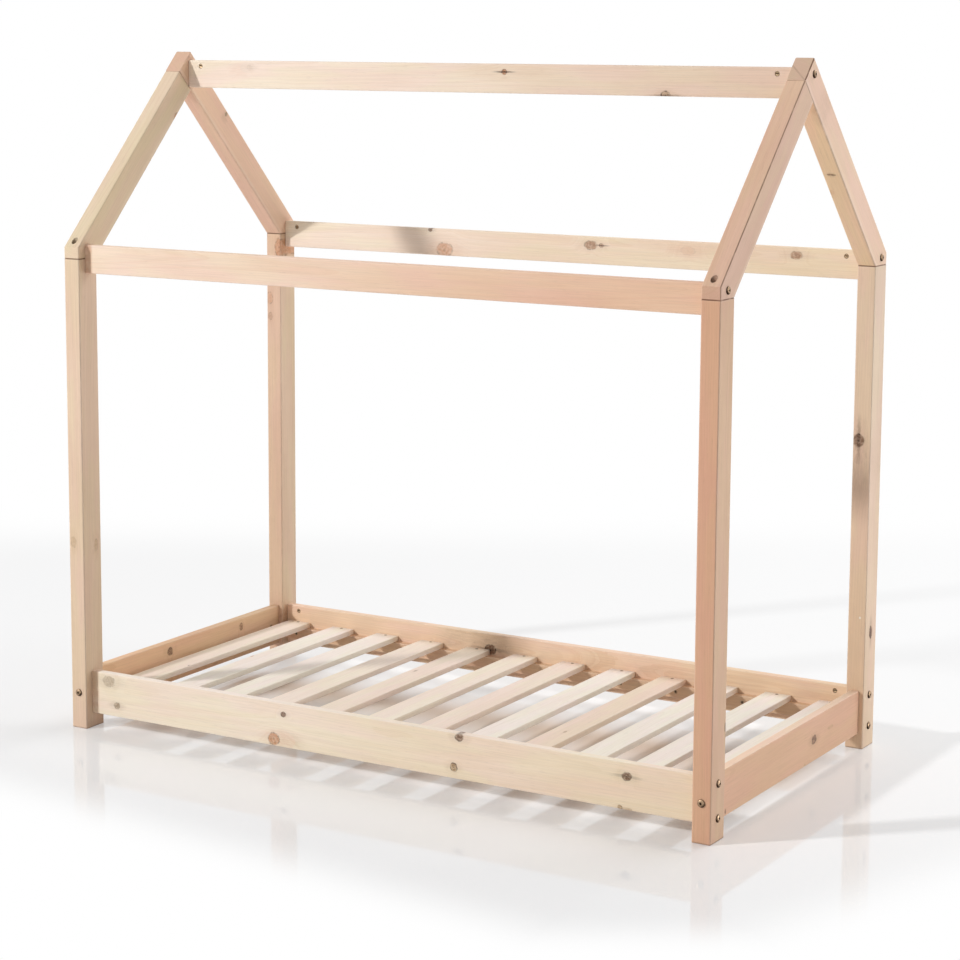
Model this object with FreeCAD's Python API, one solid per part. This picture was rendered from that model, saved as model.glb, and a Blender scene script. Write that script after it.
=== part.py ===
import FreeCAD, Part

import math
import os

V = FreeCAD.Vector

# House frame bed for a 1400 x 700 mm mattress, in millimetres.
# X runs along the bed (left -, right +), Y across it (front -, back +), Z up from the floor.
# The origin is on the floor, under the middle of the bed.

# ---- driving dimensions -------------------------------------------------------------------

MATTRESS_LENGTH = 1400.0
MATTRESS_WIDTH = 700.0
LENGTH_SLACK = 8.0            # room left along the mattress
WIDTH_SLACK = 4.0             # room left across the mattress

STOCK_X = 38.0                # posts and rafters, along the bed
STOCK_DEEP = 58.0             # posts and rafters, the deep way; rails and ridge, their height
BOARD_THICK = 18.0            # side boards, end boards, rails, ridge and ledgers
BOARD_HIGH = 90.0             # side boards and end boards
FLOOR_GAP = 31.0              # floor to the underside of the boards
POST_HIGH = 984.0
ROOF_SLOPE = math.radians(45.0)

RAIL_ABOVE_JOINT = 28.0       # how far an eaves rail stands above the top of the posts
RIDGE_DROP = 18.0             # apex of the rafters to the top of the ridge board

SLAT_COUNT = 12
SLAT_WIDE = 57.0
SLAT_THICK = 12.0
SLAT_PITCH = 119.6
SLAT_TOP = 85.0
SLAT_END_GAP = 1.0
LEDGER_HIGH = 27.0
LEDGER_END_GAP = 2.0

POST_EASE = 3.0               # rounded long edges
BOARD_EASE = 2.5
SLAT_EASE = 1.5
ARRIS = 0.9                   # small flat on the sawn ends

# ---- fasteners ----------------------------------------------------------------------------

BOLT_R = 3.0
BOLT_HOLE_R = 3.5
BOLT_HEAD_R = 7.5
BOLT_HEAD_HIGH = 3.6
BOLT_RIM = 0.9
HEX_ACROSS = 4.0
HEX_DEEP = 2.4
SHORT_BOLT = 80.0             # through the 38 mm way of a post or rafter
LONG_BOLT = 100.0             # through the 58 mm way of a post
BOLT_FROM_EDGE = 12.5         # bolt line below the top edge of a rail, the ridge or a board

NUT_R = 5.0
NUT_LONG = 13.0
NUT_SUNK = 1.0                # nut's face below the face of its board
NUT_HOLE_R = 5.1
NUT_HOLE_DEEP = 15.0
NUT_FROM_END = 32.0           # nut to the end of its board
NUT_SLOT_WIDE = 1.4
NUT_SLOT_DEEP = 1.4

DOWEL_R = 4.0
DOWEL_HALF = 17.0             # in each of the two pieces
DOWEL_HOLE_R = 4.05
DOWEL_HOLE_DEEP = 18.0
DOWEL_FROM_BOLT = 28.0        # end boards, above and below the bolt
RIDGE_DOWEL_DROP = 29.5       # ridge, below the bolt
RAIL_DOWEL_DROP = 18.0        # eaves rails, below the joint of post and rafter

FOOT_SCREW_R = 2.5
FOOT_SCREW_LONG = 70.0
APEX_SCREW_LONG = 80.0
SUNK_HEAD_R = 4.8
SUNK_HEAD_HIGH = 4.0
COUNTERBORE_R = 6.0
COUNTERBORE_FLOOR = 16.0      # foot screw: head seat above the post top
COUNTERBORE_DEEP = 16.0       # apex screw: head seat below the back slope
FOOT_SCREW_INSET = 12.0       # from the outer face of the post
APEX_SCREW_ALONG = (12.0, 33.0)   # along the end of the front rafter, from its upper corner

SMALL_SCREW_R = 1.8
SMALL_HEAD_R = 3.8
SMALL_HEAD_HIGH = 2.2
LEDGER_SCREW_LONG = 32.0
SLAT_SCREW_LONG = 20.0
SCREW_TIP = 4.0
SCREW_CLEAR = 0.06            # hole wall to screw
RECESS_WIDE = 0.9             # cross recess in a screw head
RECESS_DEEP = 1.2
LEDGER_SCREW_X = (-657.0, -556.0, -444.0, -322.0, -204.0, -82.0, 38.0, 182.0, 312.0, 465.0, 610.0)

# ---- worked out ---------------------------------------------------------------------------

BOARD_INSET_X = (STOCK_X - BOARD_THICK) / 2       # end board, behind the outer face of a post
BOARD_INSET_Y = (STOCK_DEEP - BOARD_THICK) / 2    # side board, behind the outer face of a post
BAY_X = (MATTRESS_LENGTH + LENGTH_SLACK) / 2      # inner face of an end board
BAY_Y = (MATTRESS_WIDTH + WIDTH_SLACK) / 2        # inner face of a side board
OUT_X = BAY_X + BOARD_THICK + BOARD_INSET_X       # outer face of a post
OUT_Y = BAY_Y + BOARD_THICK + BOARD_INSET_Y
IN_X = OUT_X - STOCK_X                            # inner face of a post
IN_Y = OUT_Y - STOCK_DEEP
MID_X = OUT_X - STOCK_X / 2
MID_Y = OUT_Y - STOCK_DEEP / 2

TAN = math.tan(ROOF_SLOPE)
RAFTER_PLUMB = STOCK_DEEP / math.cos(ROOF_SLOPE)  # rafter's thickness, measured upright
NOSE_HIGH = RAFTER_PLUMB - STOCK_DEEP * TAN       # upright nose over the post's outer face
APEX_Z = POST_HIGH + NOSE_HIGH + OUT_Y * TAN
CROTCH_Z = APEX_Z - RAFTER_PLUMB                  # where the undersides of two rafters meet
JOINT_Y = -RAFTER_PLUMB / (2 * TAN)               # upper corner of the rafters' butt joint
JOINT_Z = APEX_Z + JOINT_Y * TAN

BOARD_TOP = FLOOR_GAP + BOARD_HIGH
BOARD_MID_Z = FLOOR_GAP + BOARD_HIGH / 2
BOARD_BOLT_Z = (FLOOR_GAP + BOLT_FROM_EDGE, BOARD_TOP - BOLT_FROM_EDGE)
END_DOWEL_Z = (BOARD_MID_Z - DOWEL_FROM_BOLT, BOARD_MID_Z + DOWEL_FROM_BOLT)
RAIL_TOP = POST_HIGH + RAIL_ABOVE_JOINT
RAIL_BOLT_Z = RAIL_TOP - BOLT_FROM_EDGE
RAIL_DOWEL_Z = POST_HIGH - RAIL_DOWEL_DROP
RIDGE_TOP = APEX_Z - RIDGE_DROP
RIDGE_BOLT_Z = RIDGE_TOP - BOLT_FROM_EDGE
RIDGE_DOWEL_Z = RIDGE_BOLT_Z - RIDGE_DOWEL_DROP
NUT_X = IN_X - NUT_FROM_END
NUT_Y = IN_Y - NUT_FROM_END
LEDGER_TOP = SLAT_TOP - SLAT_THICK
LEDGER_MID_Y = BAY_Y - BOARD_THICK / 2
FOOT_SCREW_Y = OUT_Y - FOOT_SCREW_INSET
HEAD_SEAT_Z = POST_HIGH + COUNTERBORE_FLOOR
SLAT_X = [(i - (SLAT_COUNT - 1) / 2) * SLAT_PITCH for i in range(SLAT_COUNT)]

SIDES = (("left", -1), ("right", 1))              # sign of X
FACES = (("front", -1), ("back", 1))              # sign of Y


# ---- helpers ------------------------------------------------------------------------------

def block(x, y, z):
    """Box between the two values of each pair, in either order."""
    lo = [min(pair) for pair in (x, y, z)]
    size = [abs(pair[1] - pair[0]) for pair in (x, y, z)]
    return Part.makeBox(size[0], size[1], size[2], V(*lo))


def rod(start, direction, radius, length):
    return Part.makeCylinder(radius, length, V(*start), V(*direction))


def lies_along(edge, direction, shortest):
    """True for a straight edge of at least this length, parallel to the direction."""
    if not isinstance(edge.Curve, Part.Line) or edge.Length < shortest:
        return False
    run = (edge.Vertexes[1].Point - edge.Vertexes[0].Point).normalize()
    return abs(abs(run.dot(V(*direction).normalize())) - 1) < 1e-6


def eased(shape, radius, direction, shortest=20.0):
    """Round the long edges that run this way."""
    edges = [e for e in shape.Edges if lies_along(e, direction, shortest)]
    return shape.makeFillet(radius, edges)


def end_arris(shape, planes):
    """Take a small flat off the rim of each sawn end. A plane is a point and a normal."""
    edges = []
    for point, normal in planes:
        for edge in shape.Edges:
            heights = [abs((v.Point - V(*point)).dot(V(*normal))) for v in edge.Vertexes]
            if max(heights) < 1e-6:
                edges.append(edge)
    return shape.makeChamfer(ARRIS, edges)


def turned(profile, start, direction):
    """Solid of revolution. The profile is (radius, height) points, heights along direction."""
    points = [V(r, 0, h) for r, h in profile]
    wire = Part.makePolygon(points + [points[0]])
    solid = Part.Face(wire).revolve(V(0, 0, 0), V(0, 0, 1), 360)
    turn = FreeCAD.Rotation(V(0, 0, 1), V(*direction))
    solid.Placement = FreeCAD.Placement(V(*start), turn)
    return solid


# ---- fasteners ----------------------------------------------------------------------------

def bolt(seat, inward, length):
    """Domed bolt with a hex socket. The head sits on the seat and the shank runs inward."""
    steps = 6
    crown = BOLT_HEAD_HIGH - BOLT_RIM
    flat = HEX_ACROSS * 0.75
    profile = [(0, length), (BOLT_R - 0.5, length), (BOLT_R, length - 0.5), (BOLT_R, 0), (BOLT_HEAD_R, 0)]
    for i in range(steps + 1):
        angle = math.pi / 2 * i / steps
        radius = flat + (BOLT_HEAD_R - flat) * math.cos(angle)
        profile.append((radius, -BOLT_RIM - crown * math.sin(angle)))
    profile.append((0, -BOLT_HEAD_HIGH))
    corner = HEX_ACROSS / math.sqrt(3)
    ring = [V(corner * math.cos(k * math.pi / 3), corner * math.sin(k * math.pi / 3), 0) for k in range(7)]
    socket = Part.Face(Part.makePolygon(ring)).extrude(V(0, 0, HEX_DEEP))
    out = V(*inward) * -BOLT_HEAD_HIGH
    turn = FreeCAD.Rotation(V(0, 0, 1), V(*inward))
    socket.Placement = FreeCAD.Placement(V(*seat) + out, turn)
    return turned(profile, seat, inward).cut(socket)


def barrel_nut(face_point, inward, bolt_way):
    """Slotted cross nut. face_point is on the board's face, over the bolt that screws into it."""
    start = V(*face_point) + V(*inward) * NUT_SUNK
    nut = rod(start, inward, NUT_R, NUT_LONG)
    across = V(*bolt_way).cross(V(*inward))
    slot = Part.makeBox(2 * NUT_R + 2, NUT_SLOT_WIDE, NUT_SLOT_DEEP, V(-NUT_R - 1, -NUT_SLOT_WIDE / 2, 0))
    frame = FreeCAD.Rotation(across, V(*bolt_way), V(*inward), "ZXY")
    slot.Placement = FreeCAD.Placement(start, frame)
    return nut.cut(slot)


def cross_recess(width):
    """Cross-shaped cutter, its mouth at height 0 and its depth along +Z."""
    arm = Part.makeBox(width, RECESS_WIDE, RECESS_DEEP, V(-width / 2, -RECESS_WIDE / 2, 0))
    other = Part.makeBox(RECESS_WIDE, width, RECESS_DEEP, V(-RECESS_WIDE / 2, -width / 2, 0))
    return arm.fuse(other)


def screw(profile, top, inward, recess_width):
    """Wood screw with a cross recess. top is the centre of the head's outer face."""
    recess = cross_recess(recess_width)
    recess.Placement = FreeCAD.Placement(V(*top), FreeCAD.Rotation(V(0, 0, 1), V(*inward)))
    return turned(profile, top, inward).cut(recess)


def sunk_screw(seat, inward, length):
    """Cylinder-head screw, its head standing on the floor of a counterbore."""
    top = V(*seat) - V(*inward) * SUNK_HEAD_HIGH
    end = SUNK_HEAD_HIGH + length
    profile = [(0, 0), (SUNK_HEAD_R, 0), (SUNK_HEAD_R, SUNK_HEAD_HIGH), (FOOT_SCREW_R, SUNK_HEAD_HIGH),
               (FOOT_SCREW_R, end - SCREW_TIP), (0, end)]
    return screw(profile, (top.x, top.y, top.z), inward, SUNK_HEAD_R)


def flat_screw_profile(length, clear=0.0):
    """Countersunk screw's outline, or its hole's with some clearance all round."""
    neck = SMALL_SCREW_R + clear
    return [(0, 0), (SMALL_HEAD_R + clear, 0), (neck, SMALL_HEAD_HIGH + clear),
            (neck, length - SCREW_TIP + clear), (0, length + clear)]


def flat_screw(top, inward, length):
    return screw(flat_screw_profile(length), top, inward, SMALL_HEAD_R)


def flat_screw_hole(top, inward, length):
    return turned(flat_screw_profile(length, SCREW_CLEAR), top, inward)


# ---- where the fasteners go ---------------------------------------------------------------

def side_bolt_seats():
    """Two bolts at each end of both side boards, through the posts along X."""
    return [((sx * OUT_X, sy * MID_Y, z), (-sx, 0, 0)) for _, sx in SIDES for _, sy in FACES for z in BOARD_BOLT_Z]


def eaves_bolt_seats():
    """One bolt at each end of both eaves rails, through the rafter feet along X."""
    return [((sx * OUT_X, sy * MID_Y, RAIL_BOLT_Z), (-sx, 0, 0)) for _, sx in SIDES for _, sy in FACES]


def ridge_bolt_seats():
    """One bolt at each end of the ridge, through the back rafters along X."""
    return [((sx * OUT_X, 0, RIDGE_BOLT_Z), (-sx, 0, 0)) for _, sx in SIDES]


def end_bolt_seats():
    """One bolt at each end of both end boards, through the posts along Y."""
    return [((sx * MID_X, sy * OUT_Y, BOARD_MID_Z), (0, -sy, 0)) for _, sx in SIDES for _, sy in FACES]


def nut_places():
    """Face point, inward way and bolt way of every barrel nut."""
    places = []
    for _, sx in SIDES:
        for _, sy in FACES:
            for z in BOARD_BOLT_Z + (RAIL_BOLT_Z,):
                places.append(((sx * NUT_X, sy * BAY_Y, z), (0, sy, 0), (1, 0, 0)))
            places.append(((sx * BAY_X, sy * NUT_Y, BOARD_MID_Z), (sx, 0, 0), (0, 1, 0)))
        places.append(((sx * NUT_X, -BOARD_THICK / 2, RIDGE_BOLT_Z), (0, 1, 0), (1, 0, 0)))
    return places


def dowel_places():
    """Middle and direction of every dowel, at the joint that it crosses."""
    places = []
    for _, sx in SIDES:
        places.append(((sx * IN_X, 0, RIDGE_DOWEL_Z), (sx, 0, 0)))
        for _, sy in FACES:
            places.append(((sx * IN_X, sy * MID_Y, RAIL_DOWEL_Z), (sx, 0, 0)))
            for z in END_DOWEL_Z:
                places.append(((sx * MID_X, sy * IN_Y, z), (0, sy, 0)))
    return places


def foot_screw_seats():
    return [((sx * MID_X, sy * FOOT_SCREW_Y, HEAD_SEAT_Z), (0, 0, -1)) for _, sx in SIDES for _, sy in FACES]


def apex_screw_seats():
    """Two screws per gable, from the back slope down the front rafter's axis."""
    down = (0, -math.cos(ROOF_SLOPE), -math.sin(ROOF_SLOPE))
    depth = STOCK_DEEP - COUNTERBORE_DEEP
    seats = []
    for _, sx in SIDES:
        for along in APEX_SCREW_ALONG:
            y = JOINT_Y + along * math.sin(ROOF_SLOPE) - down[1] * depth
            z = JOINT_Z - along * math.cos(ROOF_SLOPE) - down[2] * depth
            seats.append(((sx * MID_X, y, z), down))
    return seats


def ledger_screw_tops():
    return [((x, sy * (BAY_Y - BOARD_THICK), LEDGER_TOP - LEDGER_HIGH / 2), (0, sy, 0))
            for _, sy in FACES for x in LEDGER_SCREW_X]


def slat_screw_tops():
    return [((x, sy * LEDGER_MID_Y, SLAT_TOP), (0, 0, -1)) for _, sy in FACES for x in SLAT_X]


# ---- holes in the timber ------------------------------------------------------------------

def bolt_holes():
    """Clearance holes along every bolt, a little longer than the bolt."""
    extra = 3.0
    short = side_bolt_seats() + eaves_bolt_seats() + ridge_bolt_seats()
    holes = [rod(seat, way, BOLT_HOLE_R, SHORT_BOLT + extra) for seat, way in short]
    return holes + [rod(seat, way, BOLT_HOLE_R, LONG_BOLT + extra) for seat, way in end_bolt_seats()]


def nut_holes():
    return [rod(point, inward, NUT_HOLE_R, NUT_HOLE_DEEP) for point, inward, _ in nut_places()]


def dowel_holes():
    holes = []
    for middle, way in dowel_places():
        start = V(*middle) - V(*way) * DOWEL_HOLE_DEEP
        holes.append(rod(start, way, DOWEL_HOLE_R, 2 * DOWEL_HOLE_DEEP))
    return holes


def sunk_screw_holes():
    """Counterbore up to the outside, and a hole that the shank just fits."""
    reach = 60.0
    lengths = [(seat, way, FOOT_SCREW_LONG) for seat, way in foot_screw_seats()]
    lengths += [(seat, way, APEX_SCREW_LONG) for seat, way in apex_screw_seats()]
    holes = []
    for seat, way, length in lengths:
        out = V(*way) * -1
        holes.append(rod(seat, out, COUNTERBORE_R, reach))
        holes.append(rod(seat, way, FOOT_SCREW_R + SCREW_CLEAR, length + 1))
    return holes


def small_screw_holes():
    holes = [flat_screw_hole(top, way, LEDGER_SCREW_LONG) for top, way in ledger_screw_tops()]
    return holes + [flat_screw_hole(top, way, SLAT_SCREW_LONG) for top, way in slat_screw_tops()]


def drilled(shape, holes):
    """Cut only the holes that reach into this piece."""
    near = [h for h in holes if h.BoundBox.intersect(shape.BoundBox)]
    return shape.cut(near) if near else shape


# ---- timber -------------------------------------------------------------------------------

def post(sx, sy):
    solid = block((sx * IN_X, sx * OUT_X), (sy * IN_Y, sy * OUT_Y), (0, POST_HIGH))
    solid = eased(solid, POST_EASE, (0, 0, 1))
    return end_arris(solid, [((0, 0, 0), (0, 0, 1)), ((0, 0, POST_HIGH), (0, 0, 1))])


def rafter_solid(sx, sy, outline):
    """Upright outline in the YZ plane, carried across the stock's width."""
    low = min(sx * IN_X, sx * OUT_X)
    points = [V(low, y, z) for y, z in outline]
    solid = Part.Face(Part.makePolygon(points + [points[0]])).extrude(V(STOCK_X, 0, 0))
    along = (0, -sy * math.cos(ROOF_SLOPE), math.sin(ROOF_SLOPE))
    longest_end = 2 * STOCK_DEEP
    edges = [e for e in solid.Edges if lies_along(e, along, longest_end)]
    edges += [e for e in solid.Edges if lies_along(e, (0, 0, 1), NOSE_HIGH / 2)]
    return solid.makeFillet(POST_EASE, edges)


def front_rafter(sx):
    """Stands on the front post and butts square against the back rafter's underside."""
    outline = [(-OUT_Y, POST_HIGH), (-IN_Y, POST_HIGH), (0, CROTCH_Z), (JOINT_Y, JOINT_Z),
               (-OUT_Y, POST_HIGH + NOSE_HIGH)]
    solid = rafter_solid(sx, -1, outline)
    along = (0, math.cos(ROOF_SLOPE), math.sin(ROOF_SLOPE))
    return end_arris(solid, [((0, 0, POST_HIGH), (0, 0, 1)), ((0, 0, CROTCH_Z), along)])


def back_rafter(sx):
    """Stands on the back post and runs on to the apex, its end flush with the front slope."""
    outline = [(OUT_Y, POST_HIGH), (OUT_Y, POST_HIGH + NOSE_HIGH), (0, APEX_Z), (JOINT_Y, JOINT_Z),
               (IN_Y, POST_HIGH)]
    solid = rafter_solid(sx, 1, outline)
    along = (0, -math.cos(ROOF_SLOPE), math.sin(ROOF_SLOPE))
    return end_arris(solid, [((0, 0, POST_HIGH), (0, 0, 1)), ((0, 0, APEX_Z), along)])


def beam_x(half_length, y, z, ease):
    """Board along the bed with eased long edges and sawn ends."""
    solid = eased(block((-half_length, half_length), y, z), ease, (1, 0, 0))
    return end_arris(solid, [((-half_length, 0, 0), (1, 0, 0)), ((half_length, 0, 0), (1, 0, 0))])


def beam_y(half_length, x, z, ease):
    """Board across the bed with eased long edges and sawn ends."""
    solid = eased(block(x, (-half_length, half_length), z), ease, (0, 1, 0))
    return end_arris(solid, [((0, -half_length, 0), (0, 1, 0)), ((0, half_length, 0), (0, 1, 0))])


def ridge_board():
    return beam_x(IN_X, (-BOARD_THICK / 2, BOARD_THICK / 2), (RIDGE_TOP - STOCK_DEEP, RIDGE_TOP), BOARD_EASE)


def eaves_rail(sy):
    y = (sy * BAY_Y, sy * (BAY_Y + BOARD_THICK))
    return beam_x(IN_X, y, (RAIL_TOP - STOCK_DEEP, RAIL_TOP), BOARD_EASE)


def side_board(sy):
    y = (sy * BAY_Y, sy * (BAY_Y + BOARD_THICK))
    return beam_x(IN_X, y, (FLOOR_GAP, BOARD_TOP), BOARD_EASE)


def end_board(sx):
    x = (sx * BAY_X, sx * (BAY_X + BOARD_THICK))
    return beam_y(IN_Y, x, (FLOOR_GAP, BOARD_TOP), BOARD_EASE)


def slat_ledger(sy):
    y = (sy * BAY_Y, sy * (BAY_Y - BOARD_THICK))
    return beam_x(IN_X - LEDGER_END_GAP, y, (LEDGER_TOP - LEDGER_HIGH, LEDGER_TOP), SLAT_EASE)


def slat(middle_x):
    x = (middle_x - SLAT_WIDE / 2, middle_x + SLAT_WIDE / 2)
    return beam_y(BAY_Y - SLAT_END_GAP, x, (LEDGER_TOP, SLAT_TOP), SLAT_EASE)


def timber():
    """Every board of the bed by name, before drilling."""
    pieces = {}
    for side, sx in SIDES:
        pieces["rafter_front_" + side] = front_rafter(sx)
        pieces["rafter_back_" + side] = back_rafter(sx)
        pieces["end_board_" + side] = end_board(sx)
        for face, sy in FACES:
            pieces["post_" + face + "_" + side] = post(sx, sy)
    for face, sy in FACES:
        pieces["eaves_rail_" + face] = eaves_rail(sy)
        pieces["side_board_" + face] = side_board(sy)
        pieces["slat_ledger_" + face] = slat_ledger(sy)
    pieces["ridge_board"] = ridge_board()
    for i, middle_x in enumerate(SLAT_X):
        pieces["slat_%02d" % (i + 1)] = slat(middle_x)
    return pieces


def fasteners():
    """Every fastener, identical ones together as separate solids."""
    groups = {}
    groups["side_board_bolts"] = [bolt(seat, way, SHORT_BOLT) for seat, way in side_bolt_seats()]
    groups["eaves_rail_bolts"] = [bolt(seat, way, SHORT_BOLT) for seat, way in eaves_bolt_seats()]
    groups["ridge_bolts"] = [bolt(seat, way, SHORT_BOLT) for seat, way in ridge_bolt_seats()]
    groups["end_board_bolts"] = [bolt(seat, way, LONG_BOLT) for seat, way in end_bolt_seats()]
    rods = [rod(seat, way, BOLT_R + SCREW_CLEAR, LONG_BOLT)
            for seat, way in side_bolt_seats() + eaves_bolt_seats() + ridge_bolt_seats() + end_bolt_seats()]
    groups["barrel_nuts"] = [drilled(barrel_nut(*place), rods) for place in nut_places()]
    groups["joint_dowels"] = [rod(V(*middle) - V(*way) * DOWEL_HALF, way, DOWEL_R, 2 * DOWEL_HALF)
                              for middle, way in dowel_places()]
    groups["rafter_foot_screws"] = [sunk_screw(seat, way, FOOT_SCREW_LONG) for seat, way in foot_screw_seats()]
    groups["apex_screws"] = [sunk_screw(seat, way, APEX_SCREW_LONG) for seat, way in apex_screw_seats()]
    groups["ledger_screws"] = [flat_screw(top, way, LEDGER_SCREW_LONG) for top, way in ledger_screw_tops()]
    groups["slat_screws"] = [flat_screw(top, way, SLAT_SCREW_LONG) for top, way in slat_screw_tops()]
    return groups


def main():
    os.makedirs("parts", exist_ok=True)
    holes = bolt_holes() + nut_holes() + dowel_holes() + sunk_screw_holes() + small_screw_holes()
    for name, shape in timber().items():
        drilled(shape, holes).exportStep("parts/" + name + ".step")
    for name, solids in fasteners().items():
        Part.makeCompound(solids).exportStep("parts/" + name + ".step")


main()
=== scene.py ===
"""House frame bed: natural pine and plated fasteners, dressed and lit in a pale studio.

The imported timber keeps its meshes. Every timber piece gets a pine material of its own, cut out of
a solid figure of growth rings and knots. Bolts, nuts and screws are turned again as smooth
surfaces. Lengths are metres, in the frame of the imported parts: X along the bed, Y from the front
to the back, Z up from the floor.
"""
import logging
import math
from dataclasses import dataclass
from enum import Enum
from functools import partialmethod
from typing import Dict, List, Optional, Sequence, Tuple, Union

import bpy
import numpy as np
from mathutils import Matrix, Vector


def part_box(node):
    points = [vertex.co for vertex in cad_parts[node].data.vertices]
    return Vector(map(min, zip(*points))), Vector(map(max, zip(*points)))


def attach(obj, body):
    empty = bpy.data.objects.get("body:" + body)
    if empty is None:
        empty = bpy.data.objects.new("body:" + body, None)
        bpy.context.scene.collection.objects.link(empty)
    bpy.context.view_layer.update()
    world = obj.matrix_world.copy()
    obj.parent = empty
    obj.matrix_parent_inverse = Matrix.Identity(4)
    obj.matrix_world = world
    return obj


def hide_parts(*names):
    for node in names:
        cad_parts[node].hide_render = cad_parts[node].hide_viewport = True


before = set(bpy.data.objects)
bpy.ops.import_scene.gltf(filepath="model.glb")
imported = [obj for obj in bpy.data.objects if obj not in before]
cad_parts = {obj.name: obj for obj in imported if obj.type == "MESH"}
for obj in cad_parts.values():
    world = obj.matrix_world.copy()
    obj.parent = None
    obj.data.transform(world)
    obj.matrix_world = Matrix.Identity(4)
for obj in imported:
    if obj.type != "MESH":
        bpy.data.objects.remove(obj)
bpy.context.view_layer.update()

LOG = logging.getLogger("house_frame_bed")

Triple = Tuple[float, float, float]
Socket = bpy.types.NodeSocket
Value = Union[float, int, Socket]
Point = Union[Triple, Socket]

HALF_ROOT = math.sqrt(0.5)
X_WAY, Y_WAY, Z_WAY = (1.0, 0.0, 0.0), (0.0, 1.0, 0.0), (0.0, 0.0, 1.0)
ROOF_WAY = (0.0, 1.0, 1.0)
PLAIN = (1.0, 1.0, 1.0)


# ---- node sheets

class NodeSheet:
    """Adds nodes to a tree and wires them, so that an effect reads as a formula."""

    def __init__(self, tree: bpy.types.NodeTree) -> None:
        """Start a sheet on a node tree."""
        self.tree = tree

    def node(self, kind: str, **settings: object) -> bpy.types.Node:
        """Add one node.

        Args:
            kind: Blender's name of the node type.
            settings: attributes to set on the node.
        Returns:
            The new node.
        """
        made = self.tree.nodes.new(kind)
        for name, value in settings.items():
            setattr(made, name, value)
        return made

    def feed(self, socket: Socket, value: object) -> None:
        """Link a socket into another, or write a constant on it."""
        if isinstance(value, bpy.types.NodeSocket):
            self.tree.links.new(value, socket)
        else:
            socket.default_value = value

    def wire(self, kind: str, given: Dict[Union[int, str], object], out: Union[int, str] = 0,
             **settings: object) -> Socket:
        """Add a node and feed its inputs.

        Args:
            kind, settings: as for node.
            given: what goes into its inputs, by their place or name.
            out: the wanted output's place or name.
        Returns:
            That output's socket.
        """
        made = self.node(kind, **settings)
        for key, value in given.items():
            if value is not None:
                self.feed(made.inputs[key], value)
        return made.outputs[out]

    def math(self, how: str, a: Value, b: Optional[Value] = None, c: Optional[Value] = None,
             clamp: bool = False) -> Socket:
        """Number worked out of up to three numbers, kept between 0 and 1 where clamped."""
        return self.wire("ShaderNodeMath", {0: a, 1: b, 2: c}, operation=how, use_clamp=clamp)

    def vector(self, how: str, a: Point, b: Optional[Point] = None,
               scale: Optional[Value] = None) -> Socket:
        """Vector worked out of up to two vectors; a number for LENGTH and DOT_PRODUCT."""
        out = "Value" if how in ("LENGTH", "DOT_PRODUCT") else "Vector"
        return self.wire("ShaderNodeVectorMath", {0: a, 1: b, "Scale": scale}, out, operation=how)

    add, sub = partialmethod(math, "ADD"), partialmethod(math, "SUBTRACT")
    mul, fma = partialmethod(math, "MULTIPLY"), partialmethod(math, "MULTIPLY_ADD")
    div, size = partialmethod(math, "DIVIDE"), partialmethod(math, "ABSOLUTE")
    most, least = partialmethod(math, "MAXIMUM"), partialmethod(math, "MINIMUM")
    plus, less = partialmethod(vector, "ADD"), partialmethod(vector, "SUBTRACT")
    scaled, length = partialmethod(vector, "MULTIPLY"), partialmethod(vector, "LENGTH")
    dot = partialmethod(vector, "DOT_PRODUCT")

    def ramp(self, value: Value, start: Value, end: Value, low: Value = 0.0,
             high: Value = 1.0) -> Socket:
        """Smooth step from low to high, while the value goes from start to end."""
        given = {"Value": value, "From Min": start, "From Max": end, "To Min": low, "To Max": high}
        return self.wire("ShaderNodeMapRange", given, "Result",
                         interpolation_type="SMOOTHSTEP", clamp=True)

    def fall(self, value: Value, start: Value, end: Value) -> Socket:
        """Smooth step from 1 down to 0."""
        return self.ramp(value, start, end, 1.0, 0.0)

    def noise(self, point: Point, scale: Value, detail: float = 2.0, rough: float = 0.5,
              out: str = "Fac") -> Socket:
        """Fractal noise: features per metre, and how many finer layers, how strongly."""
        given = {"Vector": point, "Scale": scale, "Detail": detail, "Roughness": rough}
        return self.wire("ShaderNodeTexNoise", given, out, noise_dimensions="3D")

    def streaks(self, point: Point, scale: Triple, detail: float, rough: float = 0.5) -> Socket:
        """Fractal noise with its own scale along each axis."""
        return self.noise(self.scaled(point, scale), 1.0, detail, rough)

    def shake(self, point: Point, scale: Value, reach: Value, detail: float = 2.0) -> Socket:
        """Random vector around zero, as long as the reach, that changes over the surface."""
        around = self.less(self.noise(point, scale, detail, out="Color"), (0.5, 0.5, 0.5))
        return self.vector("SCALE", around, scale=reach)

    def blend(self, factor: Value, a: Point, b: Point, how: str = "MIX") -> Socket:
        """Colour between two colours, given as sockets or linear RGB."""
        a, b = ((*part, 1)[:4] if isinstance(part, tuple) else part for part in (a, b))
        return self.wire("ShaderNodeMix", {0: factor, 6: a, 7: b}, 2, data_type="RGBA",
                         blend_type=how, clamp_factor=True)

    def tint(self, colour: Socket, by: Point) -> Socket:
        """Colour multiplied by another."""
        return self.blend(1.0, colour, by, "MULTIPLY")

    def join(self, x: Value, y: Value, z: Value) -> Socket:
        """Vector made of three numbers."""
        return self.wire("ShaderNodeCombineXYZ", {0: x, 1: y, 2: z})

    def split(self, point: Socket) -> Sequence[Socket]:
        """The three numbers of a vector."""
        return self.wire("ShaderNodeSeparateXYZ", {0: point}).node.outputs

    def bump(self, height: Socket, strength: float, reach: float) -> Socket:
        """Normal of a relief of the given height."""
        given = {"Strength": strength, "Distance": reach, "Height": height}
        return self.wire("ShaderNodeBump", given)

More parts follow.
